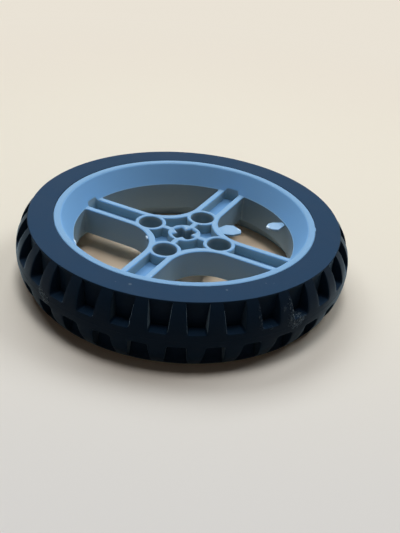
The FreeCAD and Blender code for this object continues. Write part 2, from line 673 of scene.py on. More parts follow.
    def plate(self) -> Piece:
        """Hub plate with its spokes, troughs, pockets and holes, and rounded rims.

        Returns:
            The plate.
        """
        plate = prism("hub_plate", self.plate_outline(), self.plate_bottom, self.plate_top)
        split(plate, [self.split_angle + 180 * k / SPOKES for k in range(SPOKES)])
        through = self.bore_r + self.spoke_root + self.overshoot
        for side in Side:
            work_in(plate, self.channels(side, self.pin_spacing, through), Fuse.CARVE)
            work_in(plate, self.pockets(side), Fuse.CARVE)
        work_in(plate, self.pin_holes(), Fuse.CARVE)
        work_in(plate, self.axle_hole(), Fuse.CARVE)
        soften(plate, self.is_axle_mouth, self.axle_mouth_round, self.round_segments)
        soften(plate, self.is_face_rim, self.edge_round, self.round_segments)
        return plate

    def is_face_rim(self, edge: Any) -> bool:
        """Whether an edge is a sharp one in the plate's front or back face."""
        level = at_height(edge, self.plate_top) or at_height(edge, self.plate_bottom)
        return level and is_sharp(edge)

    def is_axle_mouth(self, edge: Any) -> bool:
        """Whether an edge is the mouth of the axle hole in either face."""
        reach = max(vertex.co.xy.length / MM for vertex in edge.verts)
        return reach < self.axle_boss_r - self.axle_mouth_round and self.is_face_rim(edge)

    def axle_marks(self) -> tuple["Spot", ...]:
        """Where axles have whitened the mouth of their hole: its four inner corners.

        Returns:
            The marks.
        """
        reach = self.axle_arm_width / math.sqrt(2) + self.axle_mouth_round / 2
        angles = [self.axle_turn + 360 * (k + 0.5) / SPOKES for k in range(SPOKES)]
        size = self.axle_mark_r, self.axle_mark_share
        return tuple(Spot.at(reach, angle, self.plate_top, *size) for angle in angles)

    def gates(self) -> "Gates":
        """The leftover gates, set on the hub wall and the bore."""
        hub_r = self.window_centre * math.sqrt(2) - self.window_corner_r
        return Gates(hub_r=hub_r, bore_r=self.bore_r, top=self.plate_top - self.gate_drop)

    def lip_flash(self) -> Piece:
        """Small pointed flake of flash on the front lip's outer edge.

        Returns:
            The flake.
        """
        root, tip = self.lip_r - self.flash_height, self.lip_r + self.flash_height
        half = self.flash_length / 2
        outline = [(root, -half), (tip, half * self.flash_lean), (root, half)]
        high = self.half_width - self.flash_drop
        flake = prism("lip_flash", outline, high - self.flash_thickness, high)
        turn(flake, self.flash_angle)
        return flake

    def build(self) -> Piece:
        """Makes the whole rim.

        Returns:
            The finished piece.
        """
        rim = self.barrel()
        rim.name = "moulded_rim"
        work_in(rim, self.plate(), Fuse.JOIN)
        for part in self.gates().build():
            work_in(rim, part, Fuse.JOIN)
        work_in(rim, self.lip_flash(), Fuse.JOIN)
        shade(rim, self.shade_angle)
        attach(rim, BODY)
        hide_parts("rim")
        return rim

    def dress(self, piece: Piece, effects: "Effects") -> None:
        """Gives the rim its plastic.

        Args:
            piece: the finished piece.
            effects: the shared node groups.
        """
        plastic = BluePlastic(
            window_centre=self.window_centre,
            window_r=self.window_corner_r,
            pin_spacing=self.pin_spacing,
            hole_r=self.pin_hole_r,
            marks=self.gates().marks() + self.axle_marks(),
        )
        wear(piece, plastic.material(effects))


@dataclass
class Gates:
    """What is left of the moulding gates: tabs in one window, stumps in the opposite one."""

    hub_r: float
    bore_r: float
    top: float
    angle: float = 45.0
    thickness: float = 0.5
    root_overlap: float = 0.6
    hub_neck_width: float = 2.5
    hub_width: float = 4.3
    hub_flare: float = 2.1
    hub_length: float = 4.5
    hub_end_width: float = 3.4
    hub_break: float = 0.9
    hub_skew: float = 0.5
    rim_neck_width: float = 1.2
    rim_neck_offset: float = 0.6
    rim_width: float = 3.2
    rim_flare: float = 2.1
    rim_shoulder: float = 3.4
    rim_shoulder_width: float = 2.4
    rim_length: float = 4.3
    stump_width: float = 1.5
    rim_stump_turn: float = -1.5
    stump_proud: float = 0.25
    corner_round: float = 0.3
    corner_steps: int = 3
    edge_round: float = 0.1
    edge_angle: float = 60.0
    edge_segments: int = 2
    # Whitened places: how far along the tabs, and the radius and share of each
    tab_middle: float = 0.6
    hub_tab_mark: Point = (2.4, 0.08)
    rim_tab_mark: Point = (2.2, 0.2)
    hub_break_mark: Point = (0.8, 0.9)
    rim_break_mark: Point = (0.9, 0.9)
    hub_stump_mark: Point = (0.7, 1.0)
    rim_stump_mark: Point = (1.0, 1.0)

    def slab(self, name: str, outline: Sequence[Point], degrees: float) -> Piece:
        """Flat slab with soft edges, turned into its window.

        Args:
            name: name of the slab.
            outline: (distance from the axle, sideways) points.
            degrees: where its window is.

        Returns:
            The slab.
        """
        piece = prism(name, outline, self.top - self.thickness, self.top)
        sharp = partial(is_sharp, degrees=self.edge_angle)
        soften(piece, sharp, self.edge_round, self.edge_segments)
        turn(piece, degrees)
        return piece

    def hub_tab(self) -> Piece:
        """Tab on the hub wall: flares from a neck and ends in a skewed break.

        Returns:
            The tab.
        """
        root = self.hub_r - self.root_overlap
        flare = self.hub_r + self.hub_flare
        tip = self.hub_r + self.hub_length
        neck, half, end = self.hub_neck_width / 2, self.hub_width / 2, self.hub_end_width / 2
        soft = self.corner_round
        corners = [
            (root, -neck, 0),
            (self.hub_r, -neck, soft),
            (flare, -half, soft),
            (tip - self.hub_break + self.hub_skew, -end, soft / 2),
            (tip, -self.hub_skew, soft / 2),
            (tip - self.hub_break, end, soft / 2),
            (flare, half, soft),
            (self.hub_r, neck, soft),
            (root, neck, 0),
        ]
        return self.slab("hub_gate_tab", rounded(corners, self.corner_steps), self.angle)

    def rim_tab(self) -> Piece:
        """Leaf-shaped tab on the bore's edge, with its narrow neck towards one side.

        Returns:
            The tab.
        """
        root = self.bore_r + self.root_overlap
        flare = self.bore_r - self.rim_flare
        shoulder = self.bore_r - self.rim_shoulder
        low = self.rim_neck_offset - self.rim_neck_width / 2
        high = self.rim_neck_offset + self.rim_neck_width / 2
        half, narrow = self.rim_width / 2, self.rim_shoulder_width / 2
        soft = self.corner_round
        corners = [
            (root, low, 0),
            (root, high, 0),
            (self.bore_r, high, 0),
            (flare, half, soft),
            (shoulder, narrow, soft),
            (self.bore_r - self.rim_length, 0, soft / 2),
            (shoulder, -narrow, soft),
            (flare, -half, soft),
            (self.bore_r, low, 0),
        ]
        return self.slab("rim_gate_tab", rounded(corners, self.corner_steps), self.angle)

    def stump(self, name: str, start: float, end: float, aside: float) -> Piece:
        """Trimmed gate in the opposite window.

        Args:
            name: name of the stump.
            start: distance of one end from the axle.
            end: distance of the other end.
            aside: degrees that it stands off the window's middle.

        Returns:
            The stump.
        """
        half = self.stump_width / 2
        outline = [(start, -half), (end, -half), (end, half), (start, half)]
        return self.slab(name, outline, self.angle + 180 + aside)

    def marks(self) -> tuple["Spot", ...]:
        """Where the plastic is whitened: the tabs, their broken ends and the cut stumps.

        Returns:
            The marks.
        """
        spots = (
            (self.hub_r + self.hub_length * self.tab_middle, 0, self.hub_tab_mark),
            (self.bore_r - self.rim_length * self.tab_middle, 0, self.rim_tab_mark),
            (self.hub_r + self.hub_length, 0, self.hub_break_mark),
            (self.bore_r - self.rim_length, 0, self.rim_break_mark),
            (self.hub_r + self.stump_proud, 180, self.hub_stump_mark),
            (self.bore_r - self.stump_proud, 180 + self.rim_stump_turn, self.rim_stump_mark),
        )
        height = self.top - self.thickness / 2
        return tuple(
            Spot.at(reach, self.angle + side, height, *size) for reach, side, size in spots
        )

    def build(self) -> list[Piece]:
        """Makes the tabs and the stumps.

        Returns:
            Four meshes that are worked into the rim.
        """
        hub_end = self.hub_r + self.stump_proud
        rim_end = self.bore_r - self.stump_proud
        return [
            self.hub_tab(),
            self.rim_tab(),
            self.stump("hub_stump", self.hub_r - self.root_overlap, hub_end, 0.0),
            self.stump("rim_stump", rim_end, self.bore_r + self.root_overlap, self.rim_stump_turn),
        ]


# Tyre


@dataclass
class Tyre:
    """The rubber ring: bead in the rim's groove, flat sidewalls, crowned slotted tread."""

    half_width: float
    tyre_r: float
    lip_r: float
    seat_r: float
    flange_thickness: float
    seat_clearance: float = 0.04
    crown_height: float = 2.5
    slots_per_row: int = 31
    slot_end_width: float = 3.4
    slot_mouth_width: float = 4.2
    slot_depth: float = 2.6
    centre_band_width: float = 2.62
    tread_phase: float = 0.66
    shoulder_round: float = 0.14
    shoulder_bulge: float = 0.05
    sidewall_loop: float = 1.5
    bead_round: float = 0.1
    parting_height: float = 0.025
    parting_width: float = 0.14
    columns: int = 8
    column_slack: float = 0.05
    rows: int = 9
    ledge_corner_angle: float = 60.0
    ledge_corner_round: float = 0.4
    ledge_corner_segments: int = 3
    slot_edge_angle: float = 50.0
    slot_edge_round: float = 0.15
    slot_edge_segments: int = 2
    slot_edge_end: float = 0.6
    crown_slack: float = 0.05
    shade_angle: float = 35.0
    raggedness: float = 1.0
    # Torn places: depth below the crown's top, degrees, height, radius and share of each
    torn: tuple[Row, ...] = (
        (0.25, -24.4, 1.7, 2.3, 0.8),
        (1.0, -26.4, 4.0, 1.1, 0.5),
        (1.4, -26.2, 5.1, 0.8, 0.4),
        (0.8, -29.6, 4.0, 0.7, 0.25),
        (1.3, -37.7, 5.1, 0.7, 0.3),
        (0.6, -37.7, 3.5, 0.7, 0.3),
        (0.2, -37.2, 1.9, 0.8, 0.35),
        (0.1, -34.5, 1.5, 0.7, 0.25),
        (0.1, -110.9, 0.6, 1.0, 0.9),
        (0.1, -109.0, -0.1, 1.1, 1.0),
    )
    # Specks on the sidewall: distance from the axle, degrees, radius and share of each
    speckled: tuple[Row, ...] = ((28.4, -81.1, 0.34, 0.3), (27.8, -46.5, 0.3, 0.35))

    @classmethod
    def from_frame(cls, rim: Rim) -> "Tyre":
        """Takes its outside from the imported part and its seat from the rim.

        Args:
            rim: the rim that it sits on.

        Returns:
            The tyre.
        """
        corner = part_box("tyre")[1] / MM
        return cls(
            half_width=corner.z,
            tyre_r=corner.x,
            lip_r=rim.lip_r,
            seat_r=rim.seat_r,
            flange_thickness=rim.flange_thickness,
        )

    @property
    def slot_floor_r(self) -> float:
        """Radius of the slots' floors."""
        return self.tyre_r - self.slot_depth

    @property
    def band(self) -> float:
        """Height of the slots' level ends."""
        return self.centre_band_width / 2

    @property
    def slot_top(self) -> float:
        """Height where the slots run out into the shoulder."""
        return self.half_width - self.shoulder_round

    def crown_r(self, height: float) -> float:
        """Radius of the crowned outside at a height."""
        radius = (self.half_width**2 + self.crown_height**2) / (2 * self.crown_height)
        return self.tyre_r - radius + math.sqrt(radius**2 - height**2)

    def tread_rows(self) -> list[float]:
        """Heights of the rows of vertices from a slot's level end to the shoulder."""
        rise = self.slot_top - self.band
        return [self.band + rise * k / self.rows for k in range(self.rows + 1)]

    def profile(self) -> list[Point]:
        """Section of the tyre between two slots.

        Returns:
            The closed outline's (radius, height) points.
        """
        ridge = self.parting_width / 2
        crown = [(self.tyre_r, ridge / 2), (self.crown_r(0) - self.parting_height, ridge)]
        crown += [(self.crown_r(self.band / 2) - self.parting_height / 2, self.band / 2)]
        crown += [(self.crown_r(z), z) for z in self.tread_rows()]
        gap = self.seat_clearance
        groove = self.half_width - self.flange_thickness - gap
        shoulder = self.crown_r(self.half_width)
        soft = self.shoulder_round
        upper = crown + [
            (shoulder + self.shoulder_bulge, self.half_width - soft / 3),
            (shoulder - soft / 2, self.half_width),
            (shoulder - self.sidewall_loop, self.half_width),
            (self.lip_r + self.sidewall_loop, self.half_width),
            (self.lip_r + gap + self.bead_round, self.half_width),
            (self.lip_r + gap + self.bead_round / 3, self.half_width - self.bead_round / 4),
            (self.lip_r + gap, self.half_width - self.bead_round),
            (self.lip_r + gap, groove),
            (self.seat_r + gap, groove),
        ]
        return upper + [(r, -z) for r, z in reversed(upper)]

    def pitch(self) -> Piece:
        """One pitch of the tyre in columns, from the middle of one upper slot to the next.

        Returns:
            The pitch as an open mesh.
        """
        outline = self.profile()
        piece = draw_path("tread_pitch", [(r, 0, z) for r, z in outline + outline[:1]])
        bpy.ops.mesh.remove_doubles(threshold=WELD_GAP)
        bpy.ops.mesh.select_all(action="SELECT")
        angle = math.tau / self.slots_per_row
        bpy.ops.mesh.spin(steps=self.columns, angle=angle, center=(0, 0, 0), axis=(0, 0, 1))
        close_mesh()
        return piece

    def slot_half_angle(self, height: float) -> float:
        """Half of the angle that a slot takes up.

        Args:
            height: where it is measured.

        Returns:
            The half angle in degrees.
        """
        share = (abs(height) - self.band) / (self.half_width - self.band)
        width = self.slot_end_width + (self.slot_mouth_width - self.slot_end_width) * share
        return math.degrees(math.asin(width / 2 / self.crown_r(height)))

    def from_middle(self, place: Vector) -> float:
        """Angle of a point from the middle of the nearest slot of its row.

        Args:
            place: the point.

        Returns:
            The angle in degrees.
        """
        pitch = 360 / self.slots_per_row
        middle = 0 if place.z > 0 else pitch / 2
        angle = math.degrees(math.atan2(place.y, place.x))
        return (angle - middle + pitch / 2) % pitch - pitch / 2

    def flare_sides(self, piece: Piece) -> None:
        """Moves two columns of each slot's vertices to where its sides are, row by row.

        Args:
            piece: the plain ring.
        """
        open_mesh(piece, Element.VERT)
        quarter = 360 / self.slots_per_row / 4
        for row in self.tread_rows():
            move = self.slot_half_angle(row) - quarter
            for height in (row, -row):
                for side in (1, -1):
                    choose(
                        piece,
                        Element.VERT,
                        lambda v: lies_at(v, height)
                        and abs(self.from_middle(v.co) - side * quarter) < self.column_slack,
                    )
                    bpy.ops.transform.rotate(
                        value=-math.radians(side * move),
                        orient_axis="Z",
                        center_override=(0, 0, 0),
                    )
        close_mesh()

    def in_slot(self, place: Vector) -> bool:
        """Whether a point on the crown lies in a slot of either row.

        Args:
            place: the point, in metres.

        Returns:
            True within a slot's sides, its level end and the shoulder.
        """
        height = place.z / MM
        if not self.band < abs(height) < self.slot_top:
            return False
        if math.hypot(place.x, place.y) / MM < self.slot_floor_r:
            return False
        return abs(self.from_middle(place)) < self.slot_half_angle(height)

    def sink_slots(self, piece: Piece) -> None:
        """Pushes the faces of all the slots in to their floors, row by row.

        Args:
            piece: the plain ring.
        """
        open_mesh(piece, Element.FACE)
        choose(piece, Element.FACE, lambda face: self.in_slot(face.calc_center_median()))
        bpy.ops.mesh.extrude_region_move(TRANSFORM_OT_translate={"value": (0, 0, 0)})
        mesh = bmesh.from_edit_mesh(piece.data)
        sunk = {vertex.index for vertex in mesh.verts if vertex.select}
        for row in self.tread_rows()[:-1]:
            shrink = self.slot_floor_r / self.crown_r(row)
            for height in (row, -row):
                choose(piece, Element.VERT, lambda v: v.index in sunk and lies_at(v, height))
                bpy.ops.transform.resize(
                    value=(shrink, shrink, 1), center_override=(0, 0, height * MM)
                )
        tidy_mesh()
        close_mesh()

    def is_ledge_corner(self, edge: Any) -> bool:
        """Whether an edge runs in from the crown where a slot's level end meets its side.

        Args:
            edge: the edge.

        Returns:
            True for the corners of the ledges.
        """
        if not all(abs(abs(v.co.z) / MM - self.band) < SLACK for v in edge.verts):
            return False
        reach = [v.co.xy.length / MM for v in edge.verts]
        inwards = abs(reach[0] - reach[1]) > self.slot_depth / 2
        return inwards and edge.calc_face_angle() > math.radians(self.ledge_corner_angle)

    def is_slot_edge(self, edge: Any) -> bool:
        """Whether an edge is where the crown turns down into a slot.

        Args:
            edge: the edge.

        Returns:
            True up to a little short of the shoulder.
        """
        if not is_sharp(edge, self.slot_edge_angle):
            return False
        low, high = self.band - SLACK, self.slot_top - self.slot_edge_end
        if not all(low < abs(v.co.z) / MM < high for v in edge.verts):
            return False
        off = [abs(v.co.xy.length / MM - self.crown_r(v.co.z / MM)) for v in edge.verts]
        return max(off) < self.crown_slack

    def marks(self) -> tuple["Spot", ...]:
        """Where the tread is torn: rough places by two slots and a nick on the middle band.

        Returns:
            The marks.
        """
        return tuple(
            Spot.at(self.tyre_r - depth, *rest, ragged=self.raggedness)
            for depth, *rest in self.torn
        )

    def specks(self) -> tuple["Spot", ...]:
        """Where the front sidewall has light specks.

        Returns:
            The marks.
        """
        return tuple(
            Spot.at(reach, degrees, self.half_width, *size, ragged=self.raggedness)
            for reach, degrees, *size in self.speckled
        )

    def build(self) -> Piece:
        """Makes the whole tyre.

        Returns:
            The finished piece.
        """
        tyre = self.pitch()
        tyre.name = "rubber_tyre"
        repeat_round(tyre, self.slots_per_row)
        open_mesh(tyre, Element.VERT)
        tidy_mesh()
        close_mesh()
        self.flare_sides(tyre)
        self.sink_slots(tyre)
        corner, edge = self.ledge_corner_round, self.slot_edge_round
        soften(tyre, self.is_ledge_corner, corner, self.ledge_corner_segments)
        soften(tyre, self.is_slot_edge, edge, self.slot_edge_segments)
        turn(tyre, self.tread_phase)
        shade(tyre, self.shade_angle)
        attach(tyre, BODY)
        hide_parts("tyre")
        return tyre

    def dress(self, piece: Piece, effects: "Effects") -> None:
        """Gives the finished tyre its rubber."""
        rubber = BlackRubber(self.half_width, marks=self.marks(), specks=self.specks())
        wear(piece, rubber.material(effects))


# Finishes

VALUE = "NodeSocketFloat"
VECTOR = "NodeSocketVector"
NUMBERS = ("LENGTH", "DISTANCE", "DOT_PRODUCT")  # vector sums whose result is a number
MIX_BELOW, MIX_ABOVE, MIX_RESULT = 6, 7, 2  # colour sockets of a Mix node
RANGE_INPUTS = ("Value", "From Min", "From Max", "To Min", "To Max")


def metres(reach: Point, start: float = 0.0) -> Point:
    """Two distances past a start, from millimetres to metres."""
    return (start + reach[0]) * MM, (start + reach[1]) * MM


class Wiring:
    """Adds shader nodes to one tree and joins their sockets."""

    def __init__(self, tree: bpy.types.NodeTree) -> None:
        """Starts from an empty tree."""
        self.tree = tree
        tree.nodes.clear()

    def node(self, kind: str, inputs: dict[Any, Any] | None = None, **settings: Any) -> Any:
        """Adds a node.

        Args:
            kind: the node's type without its ShaderNode prefix.
            inputs: value or source socket for each named or numbered input.
            settings: properties of the node itself.

        Returns:
            The new node.
        """
        prefix = "" if kind.startswith("NodeGroup") else "ShaderNode"
        made = self.tree.nodes.new(prefix + kind)
        for name, value in settings.items():
            setattr(made, name, value)
        self.fill(made.inputs, inputs or {})
        return made

    def fill(self, sockets: Any, values: dict[Any, Any]) -> None:
        """Joins source sockets to inputs of a node, or sets the inputs' own values.

        Args:
            sockets: the node's inputs.
            values: value or source socket for each named or numbered one.
        """
        for name, value in values.items():
            if isinstance(value, bpy.types.NodeSocket):
                self.tree.links.new(value, sockets[name])
            elif sockets[name].type == "RGBA":
                sockets[name].default_value = (*value, 1.0)
            else:
                sockets[name].default_value = value

    def math(self, operation: str, first: Any, second: Any = 0.0) -> Any:
        """Result of one sum on two values or sockets."""
        return self.node("Math", {0: first, 1: second}, operation=operation).outputs[0]

    def vector(self, operation: str, *inputs: Any) -> Any:
        """Result of one sum on vectors: a vector or a number."""
        made = self.node("VectorMath", dict(enumerate(inputs)), operation=operation)
        return made.outputs["Value" if operation in NUMBERS else "Vector"]

    def axes(self, vector: Any) -> Any:
        """The three numbers of a vector."""
        return self.node("SeparateXYZ", {0: vector}).outputs

    def paint(self, colour: Any, *layers: tuple[Any, Any]) -> Any:
        """Lays colours over one another.

        Args:
            colour: the lowest colour, plain or a source socket.
            layers: mask and colour of each layer above it.

        Returns:
            The mixed colour.
        """
        for mask, above in layers:
            inputs = {"Factor": mask, MIX_BELOW: colour, MIX_ABOVE: above}
            colour = self.node("Mix", inputs, data_type="RGBA").outputs[MIX_RESULT]
        return colour

    def either(self, mask: Any, first: Any, second: Any) -> Any:
        """Mixes two shader nodes: the second one shows where the mask is 1."""
        inputs = {0: mask, 1: first.outputs[0], 2: second.outputs[0]}
        return self.node("MixShader", inputs).outputs[0]

    def spread(self, value: Any, *ends: float) -> Any:
        """Moves a value from a low and a high end to another low and high end, smoothly."""
        inputs = dict(zip(RANGE_INPUTS, (value, *ends)))
        return self.node("MapRange", inputs, interpolation_type="SMOOTHSTEP").outputs[0]

    def rise(self, value: Any, low: float, high: float) -> Any:
        """Mask that goes from 0 to 1 between two values."""
        return self.spread(value, low, high, 0.0, 1.0)

    def fall(self, value: Any, low: float, high: float) -> Any:
        """Mask that goes from 1 to 0 between two values."""
        return self.spread(value, low, high, 1.0, 0.0)

    def facing(self) -> Any:
        """Which way the surface looks: 1 up, 0 sideways and -1 down."""
        return self.axes(self.node("NewGeometry").outputs["Normal"])[2]

    def seen(self) -> Any:
        """Mask of what is seen, straight or in gloss and glass, and not only lit by.

        Returns:
            1 for what the camera sees and 0 for light on a surface.
        """
        path = self.node("LightPath").outputs
        shown = self.math("MAXIMUM", path["Is Camera Ray"], path["Is Glossy Ray"])
        return self.math("MAXIMUM", shown, path["Is Transmission Ray"])

    def noise(self, place: Any, scale: Any, detail: float = 3.0, rough: float = 0.55) -> Any:
        """Soft random value between 0 and 1."""
        inputs = {"Vector": place, "Scale": scale, "Detail": detail, "Roughness": rough}
        return self.node("TexNoise", inputs).outputs["Fac"]


class Effect(Wiring):
    """A node group that more than one finish uses, with the place as its first input."""

    def __init__(self, name: str, inputs: dict[str, Any], outputs: Sequence[str]) -> None:
        """Makes the group's sockets.

        Args:
            name: name of the group.
            inputs: default of each input after the place.
            outputs: names of its values.
        """
        super().__init__(bpy.data.node_groups.new(name, "ShaderNodeTree"))
        sockets = self.tree.interface
        sockets.new_socket("Place", in_out="INPUT", socket_type=VECTOR)
        for label, default in inputs.items():
            kind = VECTOR if isinstance(default, tuple) else VALUE
            sockets.new_socket(label, in_out="INPUT", socket_type=kind).default_value = default
        for label in outputs:
            sockets.new_socket(label, in_out="OUTPUT", socket_type=VALUE)
        self.given = self.node("NodeGroupInput").outputs
        self.result = self.node("NodeGroupOutput").inputs


def grain_effect() -> Effect:
    """Fine moulded skin: a height for bump and a slow shade that drifts over the piece.

    Returns:
        The effect.
    """
    fine_detail, fine_share = 2.0, 0.4
    coarse_detail, coarse_share = 4.0, 0.6
    effect = Effect("moulded_grain", {"Fine": 5000.0, "Coarse": 120.0}, ("Height", "Drift"))
    given = effect.given
    fine = effect.noise(given["Place"], given["Fine"], fine_detail)
    waves = effect.noise(given["Place"], given["Coarse"], coarse_detail)
    fine = effect.math("MULTIPLY", fine, fine_share)
    height = effect.math("ADD", fine, effect.math("MULTIPLY", waves, coarse_share))
    effect.fill(effect.result, {"Height": height, "Drift": waves})
    return effect


def spot_effect() -> Effect:
    """Ragged spot round one place on the piece.

    Returns:
        The effect.
    """
    tear_scale, tear_middle, edge_reach = 2500.0, 0.5, (0.6, 1.0)
    inputs = {"Centre": (0.0, 0.0, 0.0), "Radius": 0.001, "Ragged": 0.5}
    effect = Effect("ragged_spot", inputs, ("Mask",))
    given = effect.given
    reach = effect.vector("DISTANCE", given["Place"], given["Centre"])
    share = effect.math("DIVIDE", reach, given["Radius"])
    torn = effect.math("SUBTRACT", effect.noise(given["Place"], tear_scale), tear_middle)
    edge = effect.math("ADD", share, effect.math("MULTIPLY", torn, given["Ragged"]))
    effect.fill(effect.result, {"Mask": effect.fall(edge, *edge_reach)})
    return effect


def dust_effect() -> Effect:
    """Sparse settled specks on what faces up.

    Returns:
        The effect.
    """
    speck_reach, lie_reach = (0.08, 0.16), (0.3, 0.9)
    drift_scale, drift_reach = 160.0, (0.55, 0.7)
    effect = Effect("settled_dust", {"Scale": 900.0, "Amount": 0.5}, ("Mask",))
    given = effect.given
    cells = effect.node("TexVoronoi", {"Vector": given["Place"], "Scale": given["Scale"]})
    mask = effect.fall(cells.outputs["Distance"], *speck_reach)
    drift = effect.rise(effect.noise(given["Place"], drift_scale), *drift_reach)
    lie = effect.rise(effect.facing(), *lie_reach)
    for share in (drift, lie, given["Amount"]):
        mask = effect.math("MULTIPLY", mask, share)
    effect.fill(effect.result, {"Mask": mask})
    return effect


@dataclass
class Effects:
    """The effects that the finishes share."""

    grain: Effect
    spot: Effect
    dust: Effect


class Finish(Wiring):
    """One material: its tree, its surface shader and the object coordinates."""

    def __init__(self, name: str, effects: Effects) -> None:
        """Starts the material.

        Args:
            name: name of the material.
            effects: the shared node groups.
        """
        self.material = bpy.data.materials.new(name)
        self.material.use_nodes = True
        super().__init__(self.material.node_tree)
        self.effects = effects
        self.surface = self.node("BsdfPrincipled")
        self.output = self.node("OutputMaterial", {"Surface": self.surface.outputs[0]})
        self.place = self.node("TexCoord").outputs["Object"]

    def use(self, effect: Effect, **inputs: Any) -> Any:
        """Outputs of a shared effect at the object coordinates."""
        return self.node("Group", {"Place": self.place, **inputs}, node_tree=effect.tree).outputs


def wear(piece: Piece, material: bpy.types.Material) -> None:
    """Gives a piece one material all over."""
    piece.data.materials.clear()
    piece.data.materials.append(material)


@dataclass(frozen=True)
class Spot:
    """One mark on a finish: its place and radius, in millimetres, and how it covers."""

    place: Corner
    radius: float
    share: float
    ragged: float

    @classmethod
    def at(
        cls,
        reach: float,
        degrees: float,
        height: float,
        radius: float,
        share: float,
        ragged: float = 0.5,
    ) -> "Spot":
        """Places a mark round the axle.

        Args:
            reach: distance from the axle.
            degrees: direction from the axle.
            height: height along the axle.
            radius: how far the mark reaches.
            share: how much it covers.
            ragged: how torn its edge is.

        Returns:
            The mark.
        """
        angle = math.radians(degrees)
        place = (reach * math.cos(angle), reach * math.sin(angle), height)
        return cls(place, radius, share, ragged)

    def mask(self, finish: Finish) -> Any:
        """Puts the mark into a finish.

        Args:
            finish: the finish.

        Returns:
            The mark's mask.
        """
        size = {"Radius": self.radius * MM, "Ragged": self.ragged}
        spot = finish.use(finish.effects.spot, Centre=tuple(Vector(self.place) * MM), **size)
        return finish.math("MULTIPLY", spot["Mask"], self.share)


@dataclass(frozen=True)
class Skin:
    """The moulded grain of a finish: its two scales, its bump and how rough it is."""

    fine: float
    coarse: float
    strength: float
    depth: float
    rough: Point
    drift_reach: Point = (0.3, 0.7)

    def lay(self, finish: Finish) -> tuple[Any, Any]:
        """Puts the grain into a finish and sets its roughness.

        Args:
            finish: the finish.

        Returns:
            The slow drift over the piece, and the bumped normal.
        """
        grain = finish.use(finish.effects.grain, Fine=self.fine, Coarse=self.coarse)
        rough = finish.spread(grain["Drift"], *self.drift_reach, *self.rough)
        finish.fill(finish.surface.inputs, {"Roughness": rough})
        bump = {"Height": grain["Height"], "Strength": self.strength, "Distance": self.depth * MM}
        return grain["Drift"], finish.node("Bump", bump).outputs[0]


@dataclass(frozen=True)
class Dust:
    """Settled dust on a finish: its colour, how fine it is and how much there is."""

    colour: Colour
    scale: float
    amount: float

    def layer(self, finish: Finish) -> tuple[Any, Any]:
        """Mask and colour of the dust in a finish."""
        dust = finish.use(finish.effects.dust, Scale=self.scale, Amount=self.amount)
        return dust["Mask"], self.colour


